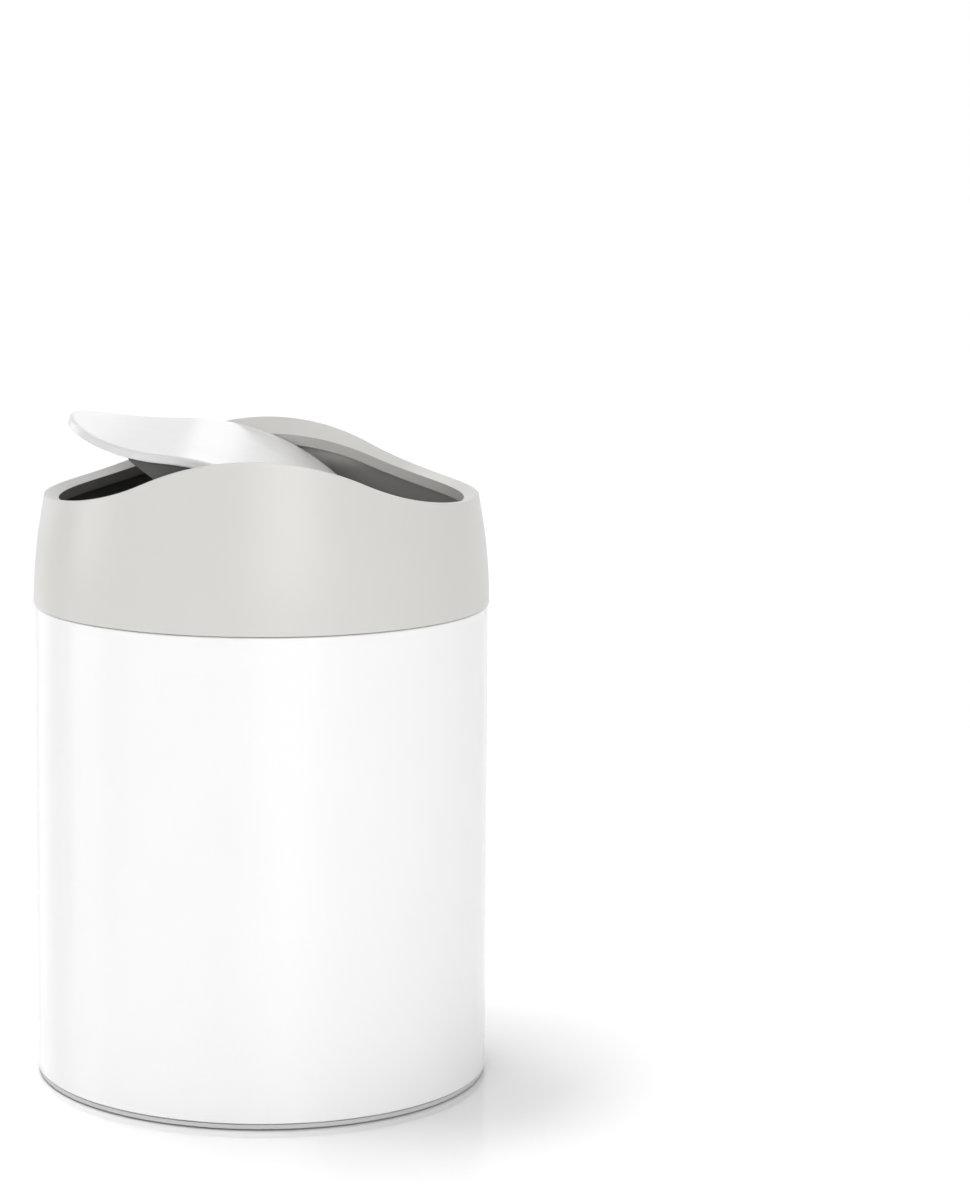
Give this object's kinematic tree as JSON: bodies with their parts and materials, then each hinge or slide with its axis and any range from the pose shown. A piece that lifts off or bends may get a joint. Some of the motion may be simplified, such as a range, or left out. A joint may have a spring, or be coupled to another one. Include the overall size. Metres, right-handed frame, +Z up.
{
  "type": "countertop trash can with swing lid",
  "caption": "Small round countertop waste bin: painted steel can, lift-off plastic collar with a wavy rim, and a counterweighted lid that swings on two pins.",
  "frame": {"origin": "centre of the base on the surface it stands on", "axes": "+Z up; the lid's pivot runs along Y; -X is the side where the lid's wing stands up at rest"},
  "size_m": [0.1327, 0.1328, 0.1929],
  "materials": {
    "white_paint": "smooth white gloss coat",
    "plate_steel": "bare pressed sheet",
    "base_plastic": "fine moulded grain",
    "rubber": "matt",
    "screw_steel": "zinc plated",
    "collar_plastic": "satin light grey",
    "carrier_plastic": "matt grey",
    "lid_gloss": "polished white",
    "lid_base_plastic": "matt grey",
    "weight_steel": "sawn bar",
    "bush_nylon": "natural nylon"
  },
  "bodies": {
    "can": {"body_shell": "white_paint", "bottom_plate": "plate_steel", "base_ring": "base_plastic", "foot_pads": "rubber", "foot_screws": "screw_steel"},
    "collar": {"collar_shell": "collar_plastic", "collar_carrier": "carrier_plastic", "grip_band": "rubber", "pivot_bush_front": "bush_nylon", "pivot_bush_rear": "bush_nylon"},
    "lid": {"lid_top": "lid_gloss", "lid_base": "lid_base_plastic", "lid_screws": "screw_steel", "counterweight": "weight_steel", "counterweight_screws": "screw_steel", "pivot_pin_front": "screw_steel", "pivot_pin_rear": "screw_steel", "thrust_washer_front": "bush_nylon", "thrust_washer_rear": "bush_nylon", "stop_sleeves": "rubber"}
  },
  "joints": [
    {"name": "collar_lift", "type": "slide", "parent": "can", "child": "collar", "axis": [0, 0, 1], "range_m": [0, 0.06]},
    {"name": "lid_swing", "type": "hinge", "parent": "collar", "child": "lid", "pos_m": [0, 0, 0.1739], "axis": [0, 1, 0], "range_deg": [-58.6, 11.4]}
  ]
}
